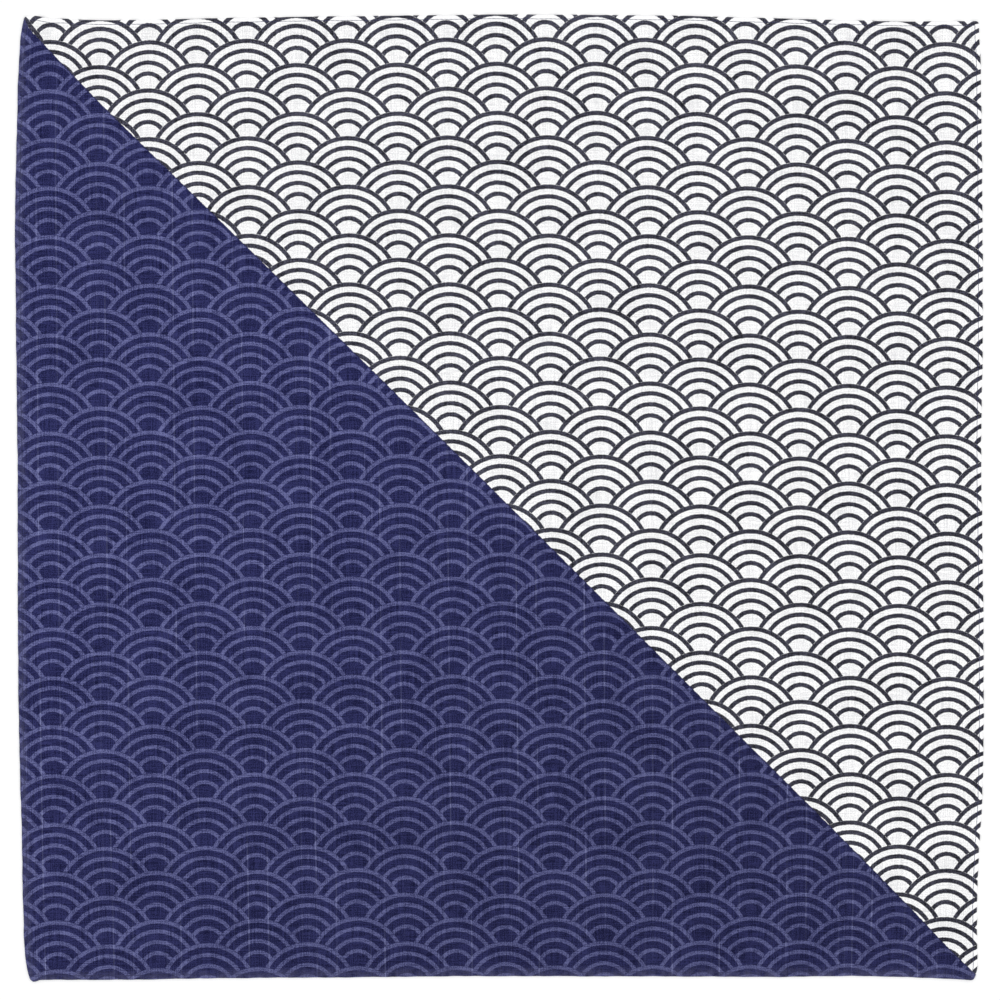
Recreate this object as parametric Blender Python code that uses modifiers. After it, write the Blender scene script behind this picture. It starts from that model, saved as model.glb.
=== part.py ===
"""Square cotton wrapping cloth, laid out flat with its printed face up.

It is one piece of cloth with a narrow hem turned to the back on all four sides, so it is one solid.
Its underside is flat on the surface that it lies on. Its edges waver a little and its corners are
drawn in, as sewn cloth's are.

Metres, with +Z up, +X to the right and +Y towards the edge at the top. The origin is on the surface,
under the middle of the cloth.
"""

import bmesh
import bpy
import numpy as np

MM = 0.001

# Driving dimensions
CLOTH_WIDTH = 500 * MM
CLOTH_HEIGHT = 498 * MM
SHEET_THICKNESS = 1.0 * MM
HEM_THICKNESS = 1.6 * MM
HEM_WIDTH = 3.0 * MM
HEM_SLOPE = 2.0 * MM
CELL_SIZE = 8 * MM

# Each edge, as rows of (place along the side, how far the edge stands out past a straight side), both
# in millimetres. A minus sign in the second column is an edge that is drawn in.
TOP_EDGE = (
    (-250, 0.7),
    (-244, 0.9),
    (-240, 0.1),
    (-229, -0.6),
    (-212, -1.2),
    (-186, -1.1),
    (-155, -0.4),
    (-103, 0.5),
    (-51, 1.1),
    (6, 1.7),
    (52, 1.4),
    (94, 1.0),
    (135, -0.1),
    (177, -1.2),
    (218, -2.0),
    (240, -1.8),
    (250, -1.8),
)
BOTTOM_EDGE = (
    (-250, 1.5),
    (-240, 1.2),
    (-229, 1.3),
    (-202, 1.3),
    (-171, 0.8),
    (-140, 0.4),
    (-77, 0.0),
    (-31, -0.5),
    (52, -0.5),
    (100, -0.4),
    (140, -0.2),
    (165, -0.4),
    (187, -0.7),
    (218, 0.1),
    (240, 0.9),
    (250, 1.6),
)
LEFT_EDGE = (
    (-249, -6.5),
    (-244, -5.0),
    (-235, -3.7),
    (-214, -2.8),
    (-173, -2.0),
    (-131, -0.8),
    (-84, -0.1),
    (-32, 0.1),
    (20, 0.2),
    (61, 0.7),
    (102, 1.1),
    (147, 1.5),
    (191, 0.5),
    (214, 0.0),
    (230, -0.9),
    (240, -1.6),
    (249, -3.4),
)
RIGHT_EDGE = (
    (-249, -4.3),
    (-247, -3.4),
    (-244, -2.4),
    (-235, -2.1),
    (-214, -2.3),
    (-188, -1.5),
    (-162, 0.1),
    (-136, 1.0),
    (-100, 1.2),
    (-53, 1.0),
    (-12, 0.4),
    (30, -0.1),
    (71, 0.6),
    (128, 0.7),
    (180, 0.3),
    (211, -0.1),
    (240, -0.9),
    (249, -1.5),
)

COTTON_COLOUR = (0.027, 0.030, 0.102, 1.0)
COTTON_ROUGHNESS = 0.85


def clear_scene():
    """Remove what the scene holds before the cloth is made."""
    for old in list(bpy.data.objects):
        bpy.data.objects.remove(old)


def stands_out(edge, place):
    """How far an edge stands out at a place along its side, on a smooth curve through the edge's rows."""
    places, amounts = np.array(edge).T * MM
    slopes = np.gradient(amounts, places)
    row = int(np.clip(np.searchsorted(places, place) - 1, 0, len(places) - 2))
    span = places[row + 1] - places[row]
    t = np.clip((place - places[row]) / span, 0.0, 1.0)
    start = (1 + 2 * t) * (1 - t) ** 2 * amounts[row] + t * (1 - t) ** 2 * span * slopes[row]
    end = t * t * (3 - 2 * t) * amounts[row + 1] + t * t * (t - 1) * span * slopes[row + 1]
    return start + end


def laid_place(x, y):
    """Where a point of the straight-sided cloth comes to lie, once each edge has been drawn in or let out."""
    across = x / CLOTH_WIDTH + 0.5
    up = y / CLOTH_HEIGHT + 0.5
    moved_x = across * stands_out(RIGHT_EDGE, y) - (1 - across) * stands_out(LEFT_EDGE, y)
    moved_y = up * stands_out(TOP_EDGE, x) - (1 - up) * stands_out(BOTTOM_EDGE, x)
    return x + moved_x, y + moved_y


def line_places(length):
    """Where the mesh lines cross one side: two for each hem's fold and slope, and even cells between them."""
    half = length / 2
    inner = half - HEM_WIDTH - HEM_SLOPE
    cells = round(2 * inner / CELL_SIZE)
    middle = np.linspace(-inner, inner, cells + 1)
    return np.concatenate(([-half, HEM_WIDTH - half], middle, [half - HEM_WIDTH, half]))


def cotton():
    """Plain-woven printed cotton: matt, in the print's navy."""
    material = bpy.data.materials.new("printed_cotton")
    material.use_nodes = True
    shader = material.node_tree.nodes["Principled BSDF"]
    shader.inputs["Base Color"].default_value = COTTON_COLOUR
    shader.inputs["Roughness"].default_value = COTTON_ROUGHNESS
    shader.inputs["Metallic"].default_value = 0.0
    material.diffuse_color = COTTON_COLOUR
    return material


def cloth_sheet():
    """The cloth's underside as a flat sheet, and the share of the hem's thickness at each point."""
    lines_x = line_places(CLOTH_WIDTH)
    lines_y = line_places(CLOTH_HEIGHT)
    cells_x = len(lines_x) - 1
    cells_y = len(lines_y) - 1
    sheet = bmesh.new()
    bmesh.ops.create_grid(sheet, x_segments=cells_x, y_segments=cells_y, size=1.0)
    hem_edge_x = CLOTH_WIDTH / 2 - HEM_WIDTH - HEM_SLOPE / 2
    hem_edge_y = CLOTH_HEIGHT / 2 - HEM_WIDTH - HEM_SLOPE / 2
    shares = []
    for point in sheet.verts:
        x = lines_x[round((point.co.x + 1) / 2 * cells_x)]
        y = lines_y[round((point.co.y + 1) / 2 * cells_y)]
        in_hem = abs(x) > hem_edge_x or abs(y) > hem_edge_y
        shares.append(1.0 if in_hem else SHEET_THICKNESS / HEM_THICKNESS)
        point.co = (*laid_place(x, y), 0.0)
    mesh = bpy.data.meshes.new("cloth")
    sheet.to_mesh(mesh)
    sheet.free()
    return mesh, shares


def centre_on_origin(mesh):
    """Bring the middle of the sheet's outline to the origin."""
    xs = [point.co.x for point in mesh.vertices]
    ys = [point.co.y for point in mesh.vertices]
    middle_x = (min(xs) + max(xs)) / 2
    middle_y = (min(ys) + max(ys)) / 2
    for point in mesh.vertices:
        point.co.x -= middle_x
        point.co.y -= middle_y


def make_cloth(collection):
    """The whole cloth: a single layer inside, and the hem's folded layers along all four edges."""
    mesh, shares = cloth_sheet()
    centre_on_origin(mesh)
    cloth = bpy.data.objects.new("cloth", mesh)
    collection.objects.link(cloth)
    layers = cloth.vertex_groups.new(name="layers")
    for index, share in enumerate(shares):
        layers.add([index], share, "REPLACE")
    thickness = cloth.modifiers.new("thickness", "SOLIDIFY")
    thickness.thickness = HEM_THICKNESS
    thickness.offset = 1.0
    thickness.vertex_group = "layers"
    thickness.use_rim = True
    mesh.materials.append(cotton())
    return cloth


def main():
    clear_scene()
    collection = bpy.data.collections.new("furoshiki")
    bpy.context.scene.collection.children.link(collection)
    make_cloth(collection)


main()
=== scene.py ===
import math

import bpy
import numpy as np
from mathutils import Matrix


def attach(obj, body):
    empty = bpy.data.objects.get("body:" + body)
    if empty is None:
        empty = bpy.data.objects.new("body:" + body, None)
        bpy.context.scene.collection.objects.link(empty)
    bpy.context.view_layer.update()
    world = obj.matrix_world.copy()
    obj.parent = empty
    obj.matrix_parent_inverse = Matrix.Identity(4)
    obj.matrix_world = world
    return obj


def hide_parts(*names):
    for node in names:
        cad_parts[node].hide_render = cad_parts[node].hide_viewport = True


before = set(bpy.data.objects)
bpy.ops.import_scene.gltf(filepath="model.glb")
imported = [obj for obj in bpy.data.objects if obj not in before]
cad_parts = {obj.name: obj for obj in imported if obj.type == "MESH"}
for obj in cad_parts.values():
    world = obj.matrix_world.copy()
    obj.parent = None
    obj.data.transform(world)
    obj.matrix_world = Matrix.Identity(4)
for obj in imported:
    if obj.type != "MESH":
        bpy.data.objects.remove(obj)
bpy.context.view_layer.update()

# A furoshiki: one square of thin cotton, hemmed all round and laid out flat. Fans of rings are
# printed over it, dark on white in one half and pale on navy in the other, parted at 45 degrees.
# Sizes are in mm and become metres where a mesh is made.
MM = 0.001

# The cloth as it was cut and sewn, before it was laid down
FLAT_WIDTH = 500.0
FLAT_LENGTH = 498.0

# The hem is turned twice to the reverse, so three layers lie on each other there
BODY_TOP = 0.58              # the face's height away from the hem
BODY_UNDER = 0.12            # the reverse's height there, just off the floor
HEM_TOP = 1.12
HEM_UNDER = 0.7              # the reverse's height where it leaves the hem's fold
HEM_WIDTH = 3.2
HEM_SLOPE_END = 6.2          # where the face has come down from the hem
BACK_HEM_WIDTH = 2.9         # the same two places on the reverse
BACK_SLOPE_END = 5.6
CORNER_LIFT = 0.42           # two hems cross at a corner and stand a little higher
CORNER_RADIUS = 1.6

# One row of lockstitch holds the hem
SEAM_INSET = 2.3
SEAM_DIP = 0.12              # the groove that the tight thread pulls into the hem
SEAM_HALF_WIDTH = 0.35
STITCHES_A_SIDE = 200
STITCH_LENGTH = 2.45
THREAD_WIDTH = 0.26
THREAD_FLATNESS = 0.8        # its height as a share of its width, as it is pressed into the cloth
THREAD_TWIST = 0.9           # the length of one turn of the plies
THREAD_PROUD = 0.08          # the thread's middle over the seam's groove
THREAD_UNDER = 0.15          # the thread's middle over the floor on the reverse
STITCH_ASKEW = (-0.12, 0.04)     # the least and the most turn off the seam's line, in radians
STITCH_SIZES = ((0.9, 0.94, 0.94), (1.06, 1.06, 1.06))     # the least and the most, as shares

# The folded tip of the lower left corner sticks out downwards
TIP_PLACE = 2.2              # its middle along the lower edge
TIP_REACH = 2.0
TIP_OUT = 0.9

# Lines of the mesh beside an edge, as distances in from it, then even cells over the rest
EDGE_LINES = np.array([0.5, 1.2, 1.95, SEAM_INSET, 2.65, HEM_WIDTH, 4.0, 5.0, HEM_SLOPE_END])
CELLS_BETWEEN = 152

# The small unevenness of a sewn edge: the lengths and the height of its waves, and how far into
# the cloth it is felt
EDGE_WAVES = (47.0, 26.0, 15.0, 10.5)
EDGE_WAVE_HEIGHT = 0.05
EDGE_WAVE_REACH = 8.0

# The low waves of the loosely laid cloth, which have their full height this far in from the edge
RELIEF_INSET = 45.0
RELIEF_WAVES = [
    # length, height
    (150, 0.10),
    (110, 0.08),
    (75, 0.06),
    (48, 0.04),
    (33, 0.025),
    (24, 0.015),
]

# The short ripples beside the hem, where the seam draws the cloth in
RIPPLE_LENGTHS = (17.0, 12.7)
RIPPLE_HEIGHT = 0.05
RIPPLE_END = 22.0            # how far in from the edge the last of them is

# The hem in section, from the face round the rolled edge and under to the inner fold:
# in is the distance in from the edge, unrolled the same along the printed side, where the edge's
# far side is negative, and high is the height as a share of the face's height at the edge
HEM_SECTION = [
    # in, unrolled, high
    (0.22, 0.20, 0.945),
    (0.06, -0.08, 0.79),
    (0.00, -0.36, 0.57),
    (0.05, -0.66, 0.32),
    (0.20, -0.92, 0.11),
    (0.50, -1.26, 0.012),
    (1.20, -1.96, 0.0),
    (1.95, -2.71, 0.0),
    (2.30, -3.06, 0.075),
    (2.65, -3.41, 0.0),
    (2.95, -3.72, 0.03),
    (3.14, -3.98, 0.17),
    (3.18, -4.22, 0.35),
    (3.05, -4.50, 0.52),
]
FOLD_CREVICE = (2.75, -4.85)     # in and unrolled, where the inner fold meets the reverse

# The seigaiha print: fans stand in rows, each row half a fan aside of the next and in front of it
HALF_FAN = 25.87             # half the step from fan to fan across the cloth
ROW_STEP = 12.70
RING_RADII = (24.81, 19.91, 14.52, 8.99)
FAN_RADIUS = 25.95
FAN_TALLNESS = 0.961         # the screen's fans are drawn a little wider than tall
ROWS_IN_REACH = 3            # a point can lie in the fans of three rows
DARK_LINE_WIDTH = 2.2
PALE_LINE_WIDTH = 1.9
HALVES_MEET = 185.69         # across and up on the print add up to minus this where they meet

# How the print drifts on the woven cloth: the place on the print is a sum of these rows, with x
# and y the place on the laid cloth as shares of PRINT_REACH from its middle. The rows are not chosen
# by hand: a least-squares fit to the photograph gave them, and they are rounded
PRINT_REACH = 250.0
PRINT_MIDDLE = (0.36, -0.31)
PRINT_DRIFT = [
    # power of x, power of y, across mm, up mm
    (0, 0, 25.05, -211.73),
    (1, 0, 249.44, 0.76),
    (0, 1, 2.2, 249.72),
    (2, 0, 1.2, 1.8),
    (1, 1, -1.3, 0.9),
    (0, 2, 0.3, -1.0),
    (3, 0, 0.4, 0.0),
    (2, 1, -1.7, 1.2),
    (1, 2, 1.5, -1.5),
    (0, 3, 0.6, 0.9),
]

# Where the laid cloth is pulled out of line, mostly at its corners, by place on the laid cloth. Most
# of the rows were fitted to the photograph too and rounded, and the rest were set one by one
PRINT_PULLS = [
    # across, up, reach, pulled right, pulled up
    (-246, 250, 5, 1.4, 2.4),
    (-244, 246, 12, 1.0, 0.3),
    (-230, 240, 30, 1.1, 1.1),
    (-210, 240, 20, 0.9, -0.9),
    (-185, 240, 14, 0.7, -0.1),
    (-155, 235, 14, -0.6, 0.4),
    (-245, 225, 14, -0.1, 0.4),
    (-245, 155, 45, -0.3, 0.6),
    (-70, 210, 45, 0.1, -0.5),
    (0, 252, 14, 0.0, 0.6),
    (50, 225, 45, -0.4, 0.2),
    (198, 244, 14, -0.8, -0.3),
    (220, 236, 14, -0.3, -0.4),
    (240, 240, 30, -0.7, 0.6),
    (250, 238, 9, -0.5, 1.6),
    (250, 190, 25, 0.0, 0.4),
    (220, 30, 45, -0.9, 0.1),
    (200, -135, 45, 0.6, 0.2),
    (240, -230, 20, -0.2, -0.9),
    (200, -245, 30, -1.0, 0.4),
    (135, -245, 20, -0.7, -0.2),
    (95, -245, 45, -0.6, -0.2),
    (10, -200, 45, -0.1, -0.5),
    (-70, -200, 30, 0.3, 0.8),
    (-210, -230, 30, 0.5, -0.2),
]

# Thick warp yarns come back every warping repeat and take less dye
WARPING_REPEAT = 35.2
THICK_YARN_CORE = 0.08       # half its width where it shows fully
THICK_YARN_EDGE = 0.5        # half its width where it has faded out
THICK_YARN_BREAKS = (5.0, 34.0)     # how far apart its breaks are, across and along
THICK_YARNS = [
    # place across, strength
    (-213.3, 1.0),
    (-203.1, 0.85),
    (-220.7, 0.4),
    (-217.4, 0.35),
]

# The camera stands straight above, at the photograph's scale
PHOTO_PIXELS = 1000
MM_A_PIXEL = 0.519
CAMERA_PLACE = (0.36, -1.35)
CAMERA_LENS = 85.0
CAMERA_SENSOR = 36.0

# The unevenness of the dye and of the yarns, coarsest last
CLOTH_GRAIN = [
    # across, along the warp, share
    (0.45, 0.45, 0.48),
    (0.55, 12.0, 0.22),
    (9.0, 0.55, 0.23),
    (25.0, 25.0, 0.07),
]
YARN_RELIEF = 0.05           # how far a yarn or a thread's ply stands out
PAINTED_LIGHT_UPPER_LEFT, PAINTED_SHADE_LOWER_RIGHT = 1.12, 0.86     # how much lighter the inks and the navy ground are painted at the upper left and the lower right: a painted falloff of the light
INK_EDGE = 0.14              # half the width over which the ink fades out
INK_WANDER = 0.14            # how far the ink's edge strays as it runs along the yarns

# The cloth's colours, each from its darkest yarns to its palest
WHITE_LOW, WHITE_HIGH = "DBDBDD", "FCFCFC"
DARK_LOW, DARK_HIGH = "08080F", "4C4C5B"
NAVY_LOW, NAVY_HIGH = "050730", "2D2F5F"
PALE_LOW, PALE_HIGH = "2E3059", "626594"
WHITE_LAYERED = "FBFBFC"     # the hem's three layers, which let nothing through
# The navy edge's paler patches: partly wear, partly a painted sheen where the hem catches the light
NAVY_EDGE_WEAR_AND_SHEEN = "5D5D7E"
THICK_ON_NAVY = "9094C0"
THICK_ON_WHITE = "B4B6C0"
SEAM_SHADE = "2B2B33"
# The navy thread, with painted shade in the grooves between its plies and painted light on their crests
THREAD_GROOVE_SHADE, THREAD_CREST_LIGHT = "24264A", "464974"
GHOST_WHITE_LOW, GHOST_WHITE_HIGH, GHOST_DARK = "E9EAEE", "F0F1F4", "B9BBC8"
GHOST_NAVY_LOW, GHOST_NAVY_HIGH, GHOST_PALE = "4A4F86", "5C6196", "777CAC"
PAPER_LOW, PAPER_HIGH = "F9F9F9", "FBFBFB"

# The printed side and the reverse on the baked image, each from its left side and as wide as this,
# in shares of the image, with a rim of cloth colour left round them
PRINTED_ON_IMAGE = (0.004, 0.72)
REVERSE_ON_IMAGE = (0.735, 0.26)
IMAGE_RIM = 6.0

# The white studio round the cloth
FLOOR_HALF = 3000.0
SOFTBOX_SIZE = 3000.0
SOFTBOX_HEIGHT = 2400.0
SOFTBOX_WATTS = 30.0
WORLD_STRENGTH = 0.75

SEED = 7


def cad_outline():
    """The laid cloth's four edges, read from the foot of the CAD sheet's upright rim."""
    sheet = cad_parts["cloth"].data
    upright = [face for face in sheet.polygons if abs(face.normal.z) < 0.5]
    rim = {i for face in upright for i in face.vertices}
    points = {tuple(round(c / MM, 3) for c in sheet.vertices[i].co) for i in rim}
    low = np.array([p[:2] for p in points if p[2] < 0.05])
    low = low[np.argsort(np.arctan2(low[:, 1], low[:, 0]))]
    corner = {}
    for name, sign_x, sign_y in (("lower left", -1, -1), ("lower right", 1, -1),
                                 ("upper right", 1, 1), ("upper left", -1, 1)):
        corner[name] = int(np.argmax(low[:, 0] * sign_x + low[:, 1] * sign_y))
    edges = {}
    for name, start, end in (("bottom", "lower left", "lower right"),
                             ("right", "lower right", "upper right"),
                             ("top", "upper right", "upper left"),
                             ("left", "upper left", "lower left")):
        first, last = corner[start], corner[end]
        if last < first:
            last += len(low)
        edges[name] = low[np.arange(first, last + 1) % len(low)]
    edges["top"] = edges["top"][::-1]
    edges["left"] = edges["left"][::-1]
    return edges


def smooth_through(places, values, at):
    """A smooth curve through the values at their places, read at other places."""
    slopes = np.gradient(values, places)
    index = np.clip(np.searchsorted(places, at) - 1, 0, len(places) - 2)
    step = places[index + 1] - places[index]
    t = (at - places[index]) / step
    return ((1 + 2 * t) * (1 - t) ** 2 * values[index] + t * (1 - t) ** 2 * step * slopes[index]
            + t * t * (3 - 2 * t) * values[index + 1] - t * t * (1 - t) * step * slopes[index + 1])


def edge_point(edge, share, lengthwise):
    """The point of an edge at a share of its length, lengthwise being the axis it runs along."""
    places = edge[:, lengthwise]
    along = places[0] + share * (places[-1] - places[0])
    aside = smooth_through(places, edge[:, 1 - lengthwise], along)
    return (along, aside) if lengthwise == 0 else (aside, along)


def uneven(along, seed):
    """The small unevenness of a sewn edge, up to about a fifth of a mm."""
    draw = np.random.default_rng(seed)
    total = np.zeros_like(along)
    for wave_length in EDGE_WAVES:
        total += EDGE_WAVE_HEIGHT * np.sin(2 * np.pi * (along / wave_length + draw.random()))
    return total


EDGES = cad_outline()


def laid_place(x, y):
    """Where a point of the flat cloth lies on the floor; x and y run from its lower left corner."""
    inside_x = np.clip(x, 0, FLAT_WIDTH)
    inside_y = np.clip(y, 0, FLAT_LENGTH)
    u = inside_x / FLAT_WIDTH
    v = inside_y / FLAT_LENGTH
    sides = {
        "bottom": edge_point(EDGES["bottom"], u, 0),
        "top": edge_point(EDGES["top"], u, 0),
        "left": edge_point(EDGES["left"], v, 1),
        "right": edge_point(EDGES["right"], v, 1),
    }
    fade = {
        "bottom": 1 - v,
        "top": v,
        "left": 1 - u,
        "right": u,
    }
    laid = []
    for axis, beyond in ((0, x - inside_x), (1, y - inside_y)):
        place = sum(fade[name] * sides[name][axis] for name in sides)
        place -= (1 - u) * (1 - v) * EDGES["bottom"][0, axis] + u * (1 - v) * EDGES["bottom"][-1, axis]
        place -= (1 - u) * v * EDGES["top"][0, axis] + u * v * EDGES["top"][-1, axis]
        laid.append(place + beyond)
    for name, along, away, axis, sign in (
        ("left", y, x, 0, -1), ("right", y, FLAT_WIDTH - x, 0, 1),
        ("bottom", x, y, 1, -1), ("top", x, FLAT_LENGTH - y, 1, 1),
    ):
        felt = np.exp(-np.abs(away) / EDGE_WAVE_REACH)
        laid[axis] = laid[axis] + sign * uneven(along, SEED + len(name)) * felt
    laid[1] = laid[1] - TIP_OUT * np.exp(-((x - TIP_PLACE) ** 2 + y ** 2) / TIP_REACH ** 2)
    return laid


def rounded(x, y):
    """The flat cloth's corners, rounded where the hem is folded over itself."""
    from_left, from_right = CORNER_RADIUS - x, x - (FLAT_WIDTH - CORNER_RADIUS)
    from_low, from_high = CORNER_RADIUS - y, y - (FLAT_LENGTH - CORNER_RADIUS)
    across = np.clip(np.maximum(from_left, from_right) / CORNER_RADIUS, 0, 1)
    up = np.clip(np.maximum(from_low, from_high) / CORNER_RADIUS, 0, 1)
    shift_x = across * (1 - np.sqrt(1 - up ** 2 / 2)) * CORNER_RADIUS
    shift_y = up * (1 - np.sqrt(1 - across ** 2 / 2)) * CORNER_RADIUS
    return x + np.where(from_left > 0, shift_x, -shift_x), y + np.where(from_low > 0, shift_y, -shift_y)


def inset_of(place, size):
    """How far in from the nearer of two edges a place lies."""
    return np.minimum(place, size - place)


def ramp(value, start, end):
    """0 before start, 1 past end, and a soft step between; start may be the greater."""
    t = np.clip((value - start) / (end - start), 0, 1)
    return t * t * (3 - 2 * t)


def soft_relief(x, y):
    """How far the loosely laid cloth lifts off the floor, in mm: low broad waves, none at the hem."""
    draw = np.random.default_rng(SEED)
    total = np.zeros_like(x)
    for wave_length, height in RELIEF_WAVES:
        turn = draw.random() * 2 * np.pi
        phase = draw.random() * 2 * np.pi
        along = x * math.cos(turn) + y * math.sin(turn)
        total += height * (1 + np.sin(2 * np.pi * along / wave_length + phase))
    inset = np.minimum(inset_of(x, FLAT_WIDTH), inset_of(y, FLAT_LENGTH))
    return total * ramp(inset, HEM_SLOPE_END, RELIEF_INSET)


def pucker(x, y):
    """Short ripples across the hem, where the seam draws the cloth in."""
    total = np.zeros_like(x)
    for along, inset, seed in ((y, inset_of(x, FLAT_WIDTH), 3), (x, inset_of(y, FLAT_LENGTH), 5)):
        draw = np.random.default_rng(SEED + seed)
        band = ramp(inset, HEM_WIDTH, HEM_SLOPE_END) * ramp(inset, RIPPLE_END, HEM_SLOPE_END)
        for ripple in RIPPLE_LENGTHS:
            total += RIPPLE_HEIGHT * band * (1 + np.sin(2 * np.pi * (along / ripple + draw.random())))
    return total


def face_height(x, y):
    """The height of the printed face over the floor, in mm."""
    hem_x = ramp(inset_of(x, FLAT_WIDTH), HEM_SLOPE_END, HEM_WIDTH)
    hem_y = ramp(inset_of(y, FLAT_LENGTH), HEM_SLOPE_END, HEM_WIDTH)
    hem = 1 - (1 - hem_x) * (1 - hem_y)
    seam_x = ramp(np.abs(inset_of(x, FLAT_WIDTH) - SEAM_INSET), SEAM_HALF_WIDTH, 0.0)
    seam_y = ramp(np.abs(inset_of(y, FLAT_LENGTH) - SEAM_INSET), SEAM_HALF_WIDTH, 0.0)
    seam = np.maximum(seam_x, seam_y)
    base = BODY_TOP + (HEM_TOP - BODY_TOP) * hem + CORNER_LIFT * hem_x * hem_y
    return base - SEAM_DIP * seam + soft_relief(x, y) + pucker(x, y)


def back_height(x, y):
    """The height of the reverse over the floor, in mm, inside the hem."""
    hem_x = ramp(inset_of(x, FLAT_WIDTH), BACK_SLOPE_END, BACK_HEM_WIDTH)
    hem_y = ramp(inset_of(y, FLAT_LENGTH), BACK_SLOPE_END, BACK_HEM_WIDTH)
    hem = 1 - (1 - hem_x) * (1 - hem_y)
    return BODY_UNDER + (HEM_UNDER - BODY_UNDER) * hem + soft_relief(x, y) + pucker(x, y)


def mesh_lines(first, size):
    """The places of the mesh's lines over one size, the outermost one first mm in from the edge."""
    near = np.interp(EDGE_LINES, (EDGE_LINES[0], EDGE_LINES[-1]), (first, EDGE_LINES[-1]))
    between = np.linspace(HEM_SLOPE_END, size - HEM_SLOPE_END, CELLS_BETWEEN + 1)[1:-1]
    return np.concatenate([near, between, (size - near)[::-1]])


def line_grid(first):
    """All crossings of the mesh's lines as flat x and y, the outermost lines first mm in."""
    return np.meshgrid(mesh_lines(first, FLAT_WIDTH), mesh_lines(first, FLAT_LENGTH))


def round_the_rim(grid):
    """A grid's outermost points in turn, counterclockwise from the lower left."""
    return np.concatenate([grid[0, :-1], grid[:-1, -1], grid[-1, :0:-1], grid[:0:-1, 0]])


def print_place(laid_x, laid_y):
    """The place on the print, in mm across and up, of a place on the laid cloth."""
    pulled_x = np.zeros_like(laid_x)
    pulled_y = np.zeros_like(laid_y)
    for place_x, place_y, reach, right, upward in PRINT_PULLS:
        near = np.exp(-((laid_x - place_x) ** 2 + (laid_y - place_y) ** 2) / reach ** 2)
        pulled_x += right * near
        pulled_y += upward * near
    x = (laid_x - pulled_x - PRINT_MIDDLE[0]) / PRINT_REACH
    y = (laid_y - pulled_y - PRINT_MIDDLE[1]) / PRINT_REACH
    across = sum(mm * x ** i * y ** j for i, j, mm, _ in PRINT_DRIFT)
    up = sum(mm * x ** i * y ** j for i, j, _, mm in PRINT_DRIFT)
    return across, up


def cloth_mesh():
    """The hemmed cloth as one closed mesh, with its print, hem and bake maps."""
    count = len(mesh_lines(EDGE_LINES[0], FLAT_WIDTH))
    points = []
    flat = []

    def add_points(x, y, z, unrolled_x, unrolled_y):
        start = sum(len(p) for p in points)
        laid_x, laid_y = laid_place(*rounded(x, y))
        points.append(np.column_stack([laid_x, laid_y, z]))
        flat.append(np.column_stack([x, y, unrolled_x, unrolled_y]))
        return start

    # The printed face
    x, y = (g.ravel() for g in line_grid(EDGE_LINES[0]))
    add_points(x, y, face_height(x, y), x, y)
    numbers = np.arange(count * count).reshape(count, count)

    # The hem from the face's rim to its inner fold, loop by loop
    loops = [round_the_rim(numbers)]
    rim_x, rim_y = (round_the_rim(g) for g in line_grid(EDGE_LINES[0]))
    rim_height = face_height(rim_x, rim_y)
    crevice = (FOLD_CREVICE[0], FOLD_CREVICE[1], HEM_UNDER / HEM_TOP)
    for first, unrolled, high in HEM_SECTION + [crevice]:
        ring_x, ring_y = (round_the_rim(g) for g in line_grid(first))
        far_x, far_y = (round_the_rim(g) for g in line_grid(unrolled))
        start = add_points(ring_x, ring_y, rim_height * high, far_x, far_y)
        loops.append(start + np.arange(len(ring_x)))

    # The reverse, whose rim is the hem's last loop
    x, y = (g.ravel() for g in line_grid(FOLD_CREVICE[0]))
    keep = np.ones((count, count), bool)
    keep[[0, -1], :] = False
    keep[:, [0, -1]] = False
    keep = keep.ravel()
    start = add_points(x[keep], y[keep], back_height(x, y)[keep], x[keep], y[keep])
    back = np.zeros(count * count, int)
    back[keep] = start + np.arange(keep.sum())
    back = back.reshape(count, count)
    turn = loops[-1]
    side = count - 1
    back[0, :-1] = turn[:side]
    back[:-1, -1] = turn[side:2 * side]
    back[-1, :0:-1] = turn[2 * side:3 * side]
    back[:0:-1, 0] = turn[3 * side:]
    points = np.concatenate(points)
    flat = np.concatenate(flat)

    def quads(grid, facing_up):
        a, b, c, d = grid[:-1, :-1], grid[:-1, 1:], grid[1:, 1:], grid[1:, :-1]
        corners = (a, b, c, d) if facing_up else (a, d, c, b)
        return np.stack([g.ravel() for g in corners], 1)

    printed = [quads(numbers, True)]
    for upper, lower in zip(loops[:-1], loops[1:]):
        printed.append(np.stack([upper, lower, np.roll(lower, -1), np.roll(upper, -1)], 1))
    printed = np.concatenate(printed)
    reverse = quads(back, False)
    faces = np.concatenate([printed, reverse])
    mesh = bpy.data.meshes.new("printed_cloth")
    mesh.from_pydata((points * MM).tolist(), [], faces.tolist())
    mesh.polygons.foreach_set("material_index", np.repeat([0, 1], [len(printed), len(reverse)]))
    mesh.polygons.foreach_set("use_smooth", np.ones(len(faces), bool))
    lay_maps(mesh, faces, len(printed), flat)
    return mesh


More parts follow.
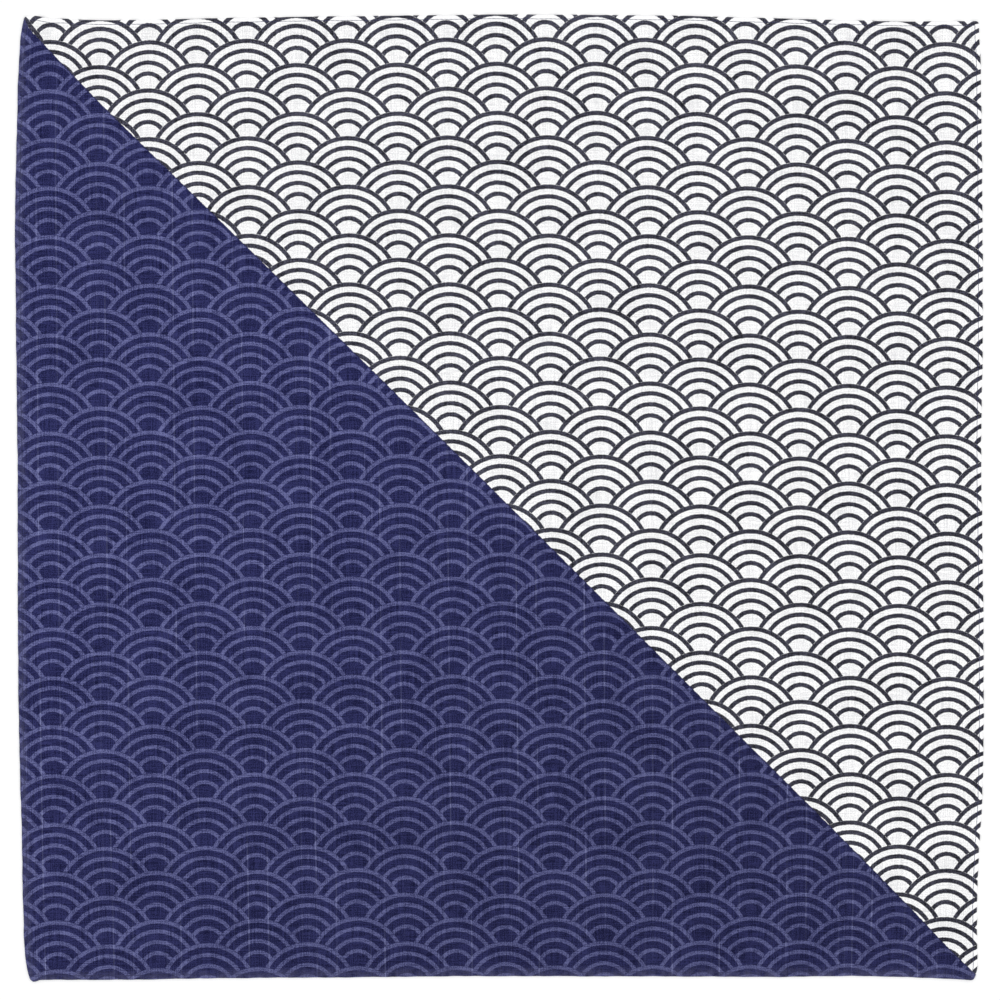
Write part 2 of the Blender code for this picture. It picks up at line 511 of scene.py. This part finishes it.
def lay_maps(mesh, faces, printed_count, flat):
    """The cloth's maps: its place on the print, beside the hem, and on the baked image."""
    corners = faces.ravel()
    on_reverse = np.repeat(np.arange(len(faces)) >= printed_count, 4)
    x = np.where(on_reverse, flat[corners, 0], flat[corners, 2])
    y = np.where(on_reverse, flat[corners, 1], flat[corners, 3])
    laid_x, laid_y = laid_place(x, y)
    across, up = print_place(laid_x, laid_y)
    maps = {"print": (across, up)}

    middle_x = flat[faces, 0].mean(1)
    middle_y = flat[faces, 1].mean(1)
    beside_upright = inset_of(middle_x, FLAT_WIDTH) < inset_of(middle_y, FLAT_LENGTH)
    beside_upright = np.repeat(beside_upright, 4)
    flat_x, flat_y = flat[corners, 0], flat[corners, 1]
    seam_x = (flat_x - SEAM_INSET) / (FLAT_WIDTH - 2 * SEAM_INSET) * STITCHES_A_SIDE
    seam_y = (flat_y - SEAM_INSET) / (FLAT_LENGTH - 2 * SEAM_INSET) * STITCHES_A_SIDE
    inset = np.where(beside_upright, inset_of(flat_x, FLAT_WIDTH), inset_of(flat_y, FLAT_LENGTH))
    maps["hem"] = (np.where(beside_upright, seam_y, seam_x), inset)

    share_x = (x + IMAGE_RIM) / (FLAT_WIDTH + 2 * IMAGE_RIM)
    share_y = (y + IMAGE_RIM) / (FLAT_LENGTH + 2 * IMAGE_RIM)
    start = np.where(on_reverse, REVERSE_ON_IMAGE[0], PRINTED_ON_IMAGE[0])
    width = np.where(on_reverse, REVERSE_ON_IMAGE[1], PRINTED_ON_IMAGE[1])
    maps["OFBake"] = (start + width * share_x, share_y)
    for name, (u, v) in maps.items():
        layer = mesh.uv_layers.new(name=name)
        layer.data.foreach_set("uv", np.column_stack([u, v]).ravel().astype(np.float32))
    mesh.uv_layers["OFBake"].active = True


def linear(code):
    """The linear colour of an sRGB hex value."""
    channels = [int(code[i:i + 2], 16) / 255 for i in (0, 2, 4)]
    return [c / 12.92 if c <= 0.04045 else ((c + 0.055) / 1.055) ** 2.4 for c in channels] + [1.0]


def add(tree, kind, inputs=(), **settings):
    """Adds a node with its settings and its inputs, each a value, a node or a node's socket."""
    node = tree.nodes.new(kind)
    for name, value in settings.items():
        setattr(node, name, value)
    for key, value in (inputs.items() if isinstance(inputs, dict) else enumerate(inputs)):
        if isinstance(value, bpy.types.Node):
            value = next(out for out in value.outputs if out.enabled)
        if isinstance(value, bpy.types.NodeSocket):
            tree.links.new(value, node.inputs[key])
        else:
            node.inputs[key].default_value = value
    return node


def new_material(name):
    """An empty material and its node tree."""
    material = bpy.data.materials.new(name)
    material.use_nodes = True
    material.node_tree.nodes.clear()
    return material, material.node_tree


def ring_distance(tree, across, up):
    """How far a point of the print lies from the nearest ring line of the fan in front there."""
    rows_down = add(tree, "ShaderNodeMath", [up, -ROW_STEP], operation="DIVIDE")
    reach = FAN_RADIUS / FAN_TALLNESS / ROW_STEP
    front = add(tree, "ShaderNodeMath", [rows_down, reach], operation="ADD")
    front = add(tree, "ShaderNodeMath", [front], operation="FLOOR")
    fans_across = add(tree, "ShaderNodeMath", [across, 2 * HALF_FAN], operation="DIVIDE")
    radius = None
    for rows_behind in reversed(range(ROWS_IN_REACH)):
        row = add(tree, "ShaderNodeMath", [front, rows_behind], operation="SUBTRACT")
        odd = add(tree, "ShaderNodeMath", [row, 2.0], operation="FLOORED_MODULO")
        aside = add(tree, "ShaderNodeMath", [odd, -0.5, fans_across], operation="MULTIPLY_ADD")
        aside = add(tree, "ShaderNodeMath", [aside, 0.5], operation="PINGPONG")
        aside = add(tree, "ShaderNodeMath", [aside, 2 * HALF_FAN], operation="MULTIPLY")
        above = add(tree, "ShaderNodeMath", [row, ROW_STEP, up], operation="MULTIPLY_ADD")
        above = add(tree, "ShaderNodeMath", [above, FAN_TALLNESS], operation="MULTIPLY")
        from_centre = add(tree, "ShaderNodeCombineXYZ", [aside, above])
        in_row = add(tree, "ShaderNodeVectorMath", [from_centre], operation="LENGTH").outputs["Value"]
        if radius is None:
            radius = in_row
        else:
            covers = add(tree, "ShaderNodeMath", [in_row, FAN_RADIUS], operation="LESS_THAN")
            radius = add(tree, "ShaderNodeMix", {0: covers, 2: radius, 3: in_row}, data_type="FLOAT")
    nearest = None
    for ring in RING_RADII:
        off = add(tree, "ShaderNodeMath", [radius, ring], operation="SUBTRACT")
        off = add(tree, "ShaderNodeMath", [off], operation="ABSOLUTE")
        if nearest is None:
            nearest = off
        else:
            nearest = add(tree, "ShaderNodeMath", [nearest, off], operation="MINIMUM")
    return nearest


def yarn_tone(tree, place):
    """Uneven dye on yarns and crossings, 0 to 1. The real yarns lie about 0.35 mm apart, too fine
    to show here, so they are drawn half as wide again."""
    tone = 0.0
    for across, along, share in CLOTH_GRAIN:
        stretch = (1 / across, 1 / along, 1)
        stretched = add(tree, "ShaderNodeVectorMath", [place, stretch], operation="MULTIPLY")
        noise = {"Vector": stretched, "Scale": 1.0, "Detail": 0.0}
        grain = add(tree, "ShaderNodeTexNoise", noise, noise_dimensions="2D").outputs["Fac"]
        tone = add(tree, "ShaderNodeMath", [grain, share, tone], operation="MULTIPLY_ADD")
    return add(tree, "ShaderNodeMapRange", {0: tone, 1: 0.4, 2: 0.6})


def thick_yarn_lines(tree, place, across):
    """Broken hairlines, 0 to 1, where thick warp yarns come back every warping repeat."""
    stretch = (1 / THICK_YARN_BREAKS[0], 1 / THICK_YARN_BREAKS[1], 1)
    stretched = add(tree, "ShaderNodeVectorMath", [place, stretch], operation="MULTIPLY")
    noise = {"Vector": stretched, "Scale": 1.0, "Detail": 3.0}
    breaks = add(tree, "ShaderNodeTexNoise", noise, noise_dimensions="2D").outputs["Fac"]
    breaks = add(tree, "ShaderNodeMapRange", {0: breaks, 1: 0.4, 2: 0.62, 3: 0.05, 4: 1.0})
    lines = None
    for yarn_place, strength in THICK_YARNS:
        off = add(tree, "ShaderNodeMath", [across, yarn_place], operation="SUBTRACT")
        off = add(tree, "ShaderNodeMath", [off, WARPING_REPEAT / 2], operation="PINGPONG")
        edge = {0: off, 1: THICK_YARN_EDGE, 2: THICK_YARN_CORE, 3: 0.0, 4: strength}
        line = add(tree, "ShaderNodeMapRange", edge, interpolation_type="SMOOTHSTEP")
        if lines is None:
            lines = line
        else:
            lines = add(tree, "ShaderNodeMath", [lines, line], operation="MAXIMUM")
    return add(tree, "ShaderNodeMath", [lines, breaks], operation="MULTIPLY")


def seam_marks(tree):
    """Beside the hem: the distance in from the edge, the seam's groove and its needle holes."""
    hem = add(tree, "ShaderNodeUVMap", uv_map="hem")
    hem = add(tree, "ShaderNodeSeparateXYZ", [hem])
    stitch, inset = hem.outputs["X"], hem.outputs["Y"]
    off_seam = add(tree, "ShaderNodeMath", [inset, SEAM_INSET], operation="SUBTRACT")
    off_seam = add(tree, "ShaderNodeMath", [off_seam], operation="ABSOLUTE")
    groove = {0: off_seam, 1: 0.42, 2: 0.05}
    groove = add(tree, "ShaderNodeMapRange", groove, interpolation_type="SMOOTHSTEP")
    pitch = (FLAT_WIDTH - 2 * SEAM_INSET) / STITCHES_A_SIDE
    off_hole = add(tree, "ShaderNodeMath", [stitch, 0.5], operation="PINGPONG")
    off_hole = add(tree, "ShaderNodeMath", [off_hole, pitch], operation="MULTIPLY")
    off_hole = add(tree, "ShaderNodeCombineXYZ", [off_hole, off_seam])
    off_hole = add(tree, "ShaderNodeVectorMath", [off_hole], operation="LENGTH").outputs["Value"]
    hole = {0: off_hole, 1: 0.34, 2: 0.1}
    hole = add(tree, "ShaderNodeMapRange", hole, interpolation_type="SMOOTHSTEP")
    return inset, groove, hole


def ink_colours(tree, tone, across, up):
    """The two grounds and the two inks on them, uneven from yarn to yarn. All but the white ground are
    painted lighter at the upper left than at the lower right: a painted falloff of the light."""
    colours = {}
    for name, low, high in (("white", WHITE_LOW, WHITE_HIGH), ("dark", DARK_LOW, DARK_HIGH),
                            ("navy", NAVY_LOW, NAVY_HIGH), ("pale", PALE_LOW, PALE_HIGH)):
        ends = {0: tone, 6: linear(low), 7: linear(high)}
        colours[name] = add(tree, "ShaderNodeMix", ends, data_type="RGBA")
    # Painted light: the inks and the navy ground grow lighter towards the upper left and darker towards
    # the lower right
    down = add(tree, "ShaderNodeMath", [up, -1.2, across], operation="MULTIPLY_ADD")
    painted_falloff = {0: down, 1: 30.0, 2: 630.0, 3: PAINTED_LIGHT_UPPER_LEFT, 4: PAINTED_SHADE_LOWER_RIGHT}
    painted_falloff = add(tree, "ShaderNodeMapRange", painted_falloff, interpolation_type="SMOOTHSTEP")
    for name in ("dark", "navy", "pale"):
        falloff_scaled = {0: colours[name], "Scale": painted_falloff}
        colours[name] = add(tree, "ShaderNodeVectorMath", falloff_scaled, operation="SCALE")
    return colours


def layered_white(tree, inset, white):
    """The white ground, whiter over the hem's layers."""
    layered = {0: inset, 1: 4.0, 2: 2.6, 4: 0.7}
    layered = add(tree, "ShaderNodeMapRange", layered, interpolation_type="SMOOTHSTEP")
    hemmed = {0: layered, 6: white, 7: linear(WHITE_LAYERED)}
    return add(tree, "ShaderNodeMix", hemmed, data_type="RGBA")


def navy_edge_wear_and_sheen(tree, place, inset, navy_half):
    """The navy half, paler and greyer in patches along its edge: partly from lint and rubbing, partly a
    painted sheen where the rolled hem catches the light.
    """
    wear_and_sheen_patches = {"Vector": place, "Scale": 1 / 4, "Detail": 2.0}
    wear_and_sheen_patches = add(tree, "ShaderNodeTexNoise", wear_and_sheen_patches, noise_dimensions="2D").outputs["Fac"]
    wear_and_sheen_patches = add(tree, "ShaderNodeMapRange", {0: wear_and_sheen_patches, 1: 0.3, 2: 0.7, 3: 0.05, 4: 0.4})
    # Wear and painted sheen: a band within about 6.5 mm of the edge, strongest at the edge
    wear_and_sheen_share = {0: inset, 1: 6.5, 2: 0.3}
    wear_and_sheen_share = add(tree, "ShaderNodeMapRange", wear_and_sheen_share, interpolation_type="SMOOTHSTEP")
    wear_and_sheen_share = add(tree, "ShaderNodeMath", [wear_and_sheen_share, wear_and_sheen_patches], operation="MULTIPLY")
    wear_and_sheen_mix = {0: wear_and_sheen_share, 6: navy_half, 7: linear(NAVY_EDGE_WEAR_AND_SHEEN)}
    return add(tree, "ShaderNodeMix", wear_and_sheen_mix, data_type="RGBA")


def printed_side():
    """Cotton broadcloth, plain woven and screen printed. It is matt all over: single yarns show as
    fine streaks in the dye, and thick warp yarns as broken hairlines."""
    material, tree = new_material("screen_printed_cotton_broadcloth")
    place = add(tree, "ShaderNodeUVMap", uv_map="print").outputs["UV"]
    apart = add(tree, "ShaderNodeSeparateXYZ", [place])
    across, up = apart.outputs["X"], apart.outputs["Y"]
    tone = yarn_tone(tree, place)
    thick = thick_yarn_lines(tree, place, across)

    # The ink's edge strays a little from its line, in bends of about a mm
    wander = {"Vector": place, "Scale": 0.9, "Detail": 1.0}
    wander = add(tree, "ShaderNodeTexNoise", wander, noise_dimensions="2D").outputs["Fac"]
    wander = add(tree, "ShaderNodeMapRange", {0: wander, 1: 0.2, 2: 0.8, 3: -INK_WANDER, 4: INK_WANDER})
    distance = ring_distance(tree, across, up)
    distance = add(tree, "ShaderNodeMath", [distance, wander], operation="ADD")
    lines = []
    for width in (DARK_LINE_WIDTH, PALE_LINE_WIDTH):
        edge = {0: distance, 1: width / 2 + INK_EDGE, 2: width / 2 - INK_EDGE}
        lines.append(add(tree, "ShaderNodeMapRange", edge, interpolation_type="SMOOTHSTEP"))

    # The cloth's two halves, and how far a point lies past their border on the white side
    past = add(tree, "ShaderNodeMath", [across, up], operation="ADD")
    past = add(tree, "ShaderNodeMath", [past, HALVES_MEET], operation="ADD")
    past = add(tree, "ShaderNodeMath", [past, math.sqrt(0.5), wander], operation="MULTIPLY_ADD")
    white = {0: past, 1: -0.38, 2: -0.1}
    white = add(tree, "ShaderNodeMapRange", white, interpolation_type="SMOOTHSTEP")
    pale_reach = {0: past, 1: -0.35, 2: -1.2}
    pale_reach = add(tree, "ShaderNodeMapRange", pale_reach, interpolation_type="SMOOTHSTEP")
    pale_line = add(tree, "ShaderNodeMath", [lines[1], pale_reach], operation="MULTIPLY")

    # Each half's ground with its lines
    colours = ink_colours(tree, tone, across, up)
    inset, groove, hole = seam_marks(tree)
    white_ground = layered_white(tree, inset, colours["white"])
    white_half = {0: lines[0], 6: white_ground, 7: colours["dark"]}
    white_half = add(tree, "ShaderNodeMix", white_half, data_type="RGBA")
    navy_half = {0: pale_line, 6: colours["navy"], 7: colours["pale"]}
    navy_half = add(tree, "ShaderNodeMix", navy_half, data_type="RGBA")
    navy_half = navy_edge_wear_and_sheen(tree, place, inset, navy_half)

    # A thick yarn shows faintly in the navy ground and brightly where it crosses a pale line
    thick_share = add(tree, "ShaderNodeMath", [pale_line, 0.3, 0.12], operation="MULTIPLY_ADD")
    thick_share = add(tree, "ShaderNodeMath", [thick_share, thick], operation="MULTIPLY")
    yarned = {0: thick_share, 6: navy_half, 7: linear(THICK_ON_NAVY)}
    navy_half = add(tree, "ShaderNodeMix", yarned, data_type="RGBA")
    thick_share = add(tree, "ShaderNodeMath", [thick, 0.06], operation="MULTIPLY")
    yarned = {0: thick_share, 6: white_half, 7: linear(THICK_ON_WHITE)}
    white_half = add(tree, "ShaderNodeMix", yarned, data_type="RGBA")
    colour = add(tree, "ShaderNodeMix", {0: white, 6: navy_half, 7: white_half}, data_type="RGBA")

    # The seam's groove and needle holes lie in shade
    shade = add(tree, "ShaderNodeMath", [hole, 0.3], operation="MULTIPLY")
    shade = add(tree, "ShaderNodeMath", [groove, 0.12, shade], operation="MULTIPLY_ADD")
    colour = add(tree, "ShaderNodeMix", {0: shade, 6: colour, 7: linear(SEAM_SHADE)}, data_type="RGBA")

    # The relief of the yarns and holes
    relief = add(tree, "ShaderNodeMath", [thick, 0.8, tone], operation="MULTIPLY_ADD")
    relief = add(tree, "ShaderNodeMath", [hole, -1.0, relief], operation="MULTIPLY_ADD")
    bump = add(tree, "ShaderNodeBump", {"Strength": 0.5, "Distance": YARN_RELIEF * MM, "Height": relief})
    surface = add(tree, "ShaderNodeBsdfPrincipled", {
        "Base Color": colour, "Roughness": 0.88, "IOR": 1.5, "Specular IOR Level": 0.15,
        "Sheen Weight": 0.08, "Sheen Roughness": 0.5, "Normal": bump})
    add(tree, "ShaderNodeOutputMaterial", {"Surface": surface})
    return material


def reverse_side():
    """The reverse of the same cotton: the dye has only soaked half through, so the print is a pale
    ghost there with soft lines."""
    material, tree = new_material("cotton_broadcloth_reverse")
    place = add(tree, "ShaderNodeUVMap", uv_map="print").outputs["UV"]
    apart = add(tree, "ShaderNodeSeparateXYZ", [place])
    across, up = apart.outputs["X"], apart.outputs["Y"]
    tone = yarn_tone(tree, place)
    thick = thick_yarn_lines(tree, place, across)
    distance = ring_distance(tree, across, up)
    edge = {0: distance, 1: DARK_LINE_WIDTH / 2 + 0.5, 2: DARK_LINE_WIDTH / 2 - 0.6}
    line = add(tree, "ShaderNodeMapRange", edge, interpolation_type="SMOOTHSTEP")
    past = add(tree, "ShaderNodeMath", [across, up], operation="ADD")
    border = {0: past, 1: -HALVES_MEET - 1.0, 2: -HALVES_MEET + 0.6}
    white = add(tree, "ShaderNodeMapRange", border, interpolation_type="SMOOTHSTEP")
    grounds = []
    for low, high, ink in ((GHOST_WHITE_LOW, GHOST_WHITE_HIGH, GHOST_DARK),
                           (GHOST_NAVY_LOW, GHOST_NAVY_HIGH, GHOST_PALE)):
        ground = add(tree, "ShaderNodeMix", {0: tone, 6: linear(low), 7: linear(high)}, data_type="RGBA")
        grounds.append(add(tree, "ShaderNodeMix", {0: line, 6: ground, 7: linear(ink)}, data_type="RGBA"))
    colour = add(tree, "ShaderNodeMix", {0: white, 6: grounds[1], 7: grounds[0]}, data_type="RGBA")
    relief = add(tree, "ShaderNodeMath", [thick, 0.8, tone], operation="MULTIPLY_ADD")
    bump = add(tree, "ShaderNodeBump", {"Strength": 0.5, "Distance": YARN_RELIEF * MM, "Height": relief})
    surface = add(tree, "ShaderNodeBsdfPrincipled", {
        "Base Color": colour, "Roughness": 0.9, "IOR": 1.5, "Specular IOR Level": 0.15,
        "Sheen Weight": 0.08, "Sheen Roughness": 0.5, "Normal": bump})
    add(tree, "ShaderNodeOutputMaterial", {"Surface": surface})
    return material


def sewing_thread():
    """Spun polyester sewing thread in navy, three plies twisted together: a soft gloss, with painted shade
    in the grooves between the plies. One thread sews both halves, so it is a thin grey line on the white."""
    material, tree = new_material("navy_spun_polyester_thread")
    place = add(tree, "ShaderNodeAttribute", attribute_name="thread_place").outputs["Vector"]
    apart = add(tree, "ShaderNodeSeparateXYZ", [place])
    turn = add(tree, "ShaderNodeMath", [apart.outputs["Y"], apart.outputs["X"]], operation="ARCTAN2")
    turn = add(tree, "ShaderNodeMath", [turn, 3.0], operation="MULTIPLY")
    twist = STITCH_LENGTH / THREAD_TWIST * 2 * math.pi
    along = add(tree, "ShaderNodeMath", [apart.outputs["Z"], twist, turn], operation="MULTIPLY_ADD")
    ply = add(tree, "ShaderNodeMath", [along], operation="SINE")
    ply = add(tree, "ShaderNodeMapRange", {0: ply, 1: -1.0, 2: 1.0})
    # Painted light and shade: the colour darkens into the grooves between the plies and lightens on their
    # crests
    ply_light_and_shade = {0: ply, 6: linear(THREAD_GROOVE_SHADE), 7: linear(THREAD_CREST_LIGHT)}
    colour = add(tree, "ShaderNodeMix", ply_light_and_shade, data_type="RGBA")
    bump = add(tree, "ShaderNodeBump", {"Strength": 0.6, "Distance": YARN_RELIEF * MM, "Height": ply})
    surface = add(tree, "ShaderNodeBsdfPrincipled", {
        "Base Color": colour, "Roughness": 0.6, "IOR": 1.5, "Specular IOR Level": 0.25, "Normal": bump})
    add(tree, "ShaderNodeOutputMaterial", {"Surface": surface})
    return material


def studio_paper():
    """Seamless white background paper: matt, with faint fibre clouds about 17 mm wide."""
    material, tree = new_material("matt_background_paper")
    place = add(tree, "ShaderNodeTexCoord").outputs["Object"]
    cloud = add(tree, "ShaderNodeTexNoise", {"Vector": place, "Scale": 60.0}).outputs["Fac"]
    clouded = {0: cloud, 6: linear(PAPER_LOW), 7: linear(PAPER_HIGH)}
    colour = add(tree, "ShaderNodeMix", clouded, data_type="RGBA")
    surface = add(tree, "ShaderNodeBsdfPrincipled", {
        "Base Color": colour, "Roughness": 0.95, "IOR": 1.5, "Specular IOR Level": 0.1})
    add(tree, "ShaderNodeOutputMaterial", {"Surface": surface})
    return material


def stitch_row_tree():
    """Geometry nodes that set a lockstitch at even steps along each seam line."""
    tree = bpy.data.node_groups.new("lockstitch_row", "GeometryNodeTree")
    tree.is_modifier = True
    for name, kind in (("Seam lines", "NodeSocketGeometry"), ("Stitches a line", "NodeSocketInt"),
                       ("Stitch length", "NodeSocketFloat"), ("Thread width", "NodeSocketFloat"),
                       ("Seed", "NodeSocketInt"), ("Thread", "NodeSocketMaterial")):
        tree.interface.new_socket(name=name, in_out="INPUT", socket_type=kind)
    tree.interface.new_socket(name="Stitching", in_out="OUTPUT", socket_type="NodeSocketGeometry")
    given = add(tree, "NodeGroupInput").outputs
    lines = add(tree, "GeometryNodeMeshToCurve", [given["Seam lines"]])
    lines = add(tree, "GeometryNodeResampleCurve", {"Curve": lines, "Count": given["Stitches a line"]})
    along = add(tree, "GeometryNodeInputTangent")
    turned = add(tree, "FunctionNodeAlignRotationToVector", {"Vector": along}, axis="X", pivot_axis="Z")
    askew = {0: (0.0, 0.0, STITCH_ASKEW[0]), 1: (0.0, 0.0, STITCH_ASKEW[1]), "Seed": given["Seed"]}
    askew = add(tree, "FunctionNodeRandomValue", askew, data_type="FLOAT_VECTOR")
    askew = add(tree, "FunctionNodeEulerToRotation", [askew])
    turned = add(tree, "FunctionNodeRotateRotation", [turned, askew], rotation_space="LOCAL")
    uneven_size = {0: STITCH_SIZES[0], 1: STITCH_SIZES[1], "Seed": given["Seed"]}
    uneven_size = add(tree, "FunctionNodeRandomValue", uneven_size, data_type="FLOAT_VECTOR")

    thread = add(tree, "GeometryNodeMeshUVSphere", {"Segments": 8, "Rings": 6, "Radius": 0.5})
    spot = add(tree, "GeometryNodeInputPosition")
    stored = {"Geometry": thread, "Name": "thread_place", "Value": spot}
    thread = add(tree, "GeometryNodeStoreNamedAttribute", stored, data_type="FLOAT_VECTOR", domain="POINT")
    low = add(tree, "ShaderNodeMath", [given["Thread width"], THREAD_FLATNESS], operation="MULTIPLY")
    size = add(tree, "ShaderNodeCombineXYZ", [low, given["Thread width"], given["Stitch length"]])
    laid = {"Geometry": thread, "Scale": size, "Rotation": (0.0, math.pi / 2, 0.0)}
    thread = add(tree, "GeometryNodeTransform", laid)
    thread = add(tree, "GeometryNodeSetShadeSmooth", [thread])
    row = {"Points": lines, "Instance": thread, "Rotation": turned, "Scale": uneven_size}
    row = add(tree, "GeometryNodeInstanceOnPoints", row)
    row = add(tree, "GeometryNodeRealizeInstances", [row])
    row = add(tree, "GeometryNodeSetMaterial", {"Geometry": row, "Material": given["Thread"]})
    add(tree, "NodeGroupOutput", [row])
    return tree


def seam_line(side, on_face):
    """The points of one side's seam, from its first stitch's middle to its last one's."""
    size = FLAT_WIDTH if side in ("top", "bottom") else FLAT_LENGTH
    half_pitch = (size - 2 * SEAM_INSET) / STITCHES_A_SIDE / 2
    along = np.linspace(SEAM_INSET + half_pitch, size - SEAM_INSET - half_pitch, 2 * STITCHES_A_SIDE - 1)
    aside = {
        "left": SEAM_INSET,
        "bottom": SEAM_INSET,
        "right": FLAT_WIDTH - SEAM_INSET,
        "top": FLAT_LENGTH - SEAM_INSET,
    }[side]
    aside = np.full_like(along, aside)
    x, y = (along, aside) if side in ("top", "bottom") else (aside, along)
    laid_x, laid_y = laid_place(x, y)
    high = face_height(x, y) + THREAD_PROUD if on_face else np.full_like(x, THREAD_UNDER)
    return np.column_stack([laid_x, laid_y, high]) * MM


def stitching(name, thread, tree):
    """The lockstitches of the hem's four sides, on the face and on the reverse, as one mesh."""
    points = []
    edges = []
    for side in ("bottom", "right", "top", "left"):
        for on_face in (True, False):
            line = seam_line(side, on_face)
            edges += [(len(points) + i, len(points) + i + 1) for i in range(len(line) - 1)]
            points += line.tolist()
    seams = bpy.data.meshes.new(name + "_lines")
    seams.from_pydata(points, edges, [])
    carrier = bpy.data.objects.new(name + "_lines", seams)
    bpy.context.scene.collection.objects.link(carrier)
    modifier = carrier.modifiers.new("lockstitch", "NODES")
    modifier.node_group = tree
    sizes = {"Stitches a line": STITCHES_A_SIDE, "Stitch length": STITCH_LENGTH * MM,
             "Thread width": THREAD_WIDTH * MM, "Seed": SEED, "Thread": thread}
    for socket in tree.interface.items_tree:
        if socket.name in sizes:
            modifier[socket.identifier] = sizes[socket.name]
    ready = carrier.evaluated_get(bpy.context.evaluated_depsgraph_get())
    mesh = bpy.data.meshes.new_from_object(ready)
    mesh.name = name
    carrier.modifiers.remove(modifier)
    bpy.data.objects.remove(carrier)
    piece = bpy.data.objects.new(name, mesh)
    bpy.context.scene.collection.objects.link(piece)
    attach(piece, "root")
    return piece


def make_camera():
    """A camera straight above the cloth, as far up as its lens needs for the photograph's width."""
    data = bpy.data.cameras.new("overhead_camera")
    data.lens = CAMERA_LENS
    data.sensor_width = CAMERA_SENSOR
    camera = bpy.data.objects.new("overhead_camera", data)
    width = PHOTO_PIXELS * MM_A_PIXEL
    above = width * CAMERA_LENS / CAMERA_SENSOR + BODY_TOP
    camera.location = (CAMERA_PLACE[0] * MM, CAMERA_PLACE[1] * MM, above * MM)
    bpy.context.scene.collection.objects.link(camera)
    bpy.context.scene.camera = camera


def make_studio():
    """A white floor, an even white surround and one large soft light overhead."""
    half = FLOOR_HALF * MM
    floor_mesh = bpy.data.meshes.new("studio_floor")
    corners = [(-half, -half, 0.0), (half, -half, 0.0), (half, half, 0.0), (-half, half, 0.0)]
    floor_mesh.from_pydata(corners, [], [(0, 1, 2, 3)])
    floor_mesh.materials.append(studio_paper())
    floor = bpy.data.objects.new("studio_floor", floor_mesh)
    bpy.context.scene.collection.objects.link(floor)
    world = bpy.data.worlds.new("white_surround")
    world.use_nodes = True
    world.node_tree.nodes["Background"].inputs["Color"].default_value = (1.0, 1.0, 1.0, 1.0)
    world.node_tree.nodes["Background"].inputs["Strength"].default_value = WORLD_STRENGTH
    bpy.context.scene.world = world
    light = bpy.data.lights.new("overhead_softbox", "AREA")
    light.shape = "SQUARE"
    light.size = SOFTBOX_SIZE * MM
    light.energy = SOFTBOX_WATTS
    softbox = bpy.data.objects.new("overhead_softbox", light)
    softbox.location = (0.0, 0.0, SOFTBOX_HEIGHT * MM)
    bpy.context.scene.collection.objects.link(softbox)
    bpy.context.scene.view_settings.view_transform = "Standard"
    return floor


def make_cloth(floor):
    """The printed cloth with its stitching, laid on the floor."""
    mesh = cloth_mesh()
    mesh.materials.append(printed_side())
    mesh.materials.append(reverse_side())
    cloth = bpy.data.objects.new("printed_cloth", mesh)
    bpy.context.scene.collection.objects.link(cloth)
    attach(cloth, "root")
    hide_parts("cloth")
    tree = stitch_row_tree()
    sewn = stitching("hem_stitching", sewing_thread(), tree)


make_camera()
make_cloth(make_studio())
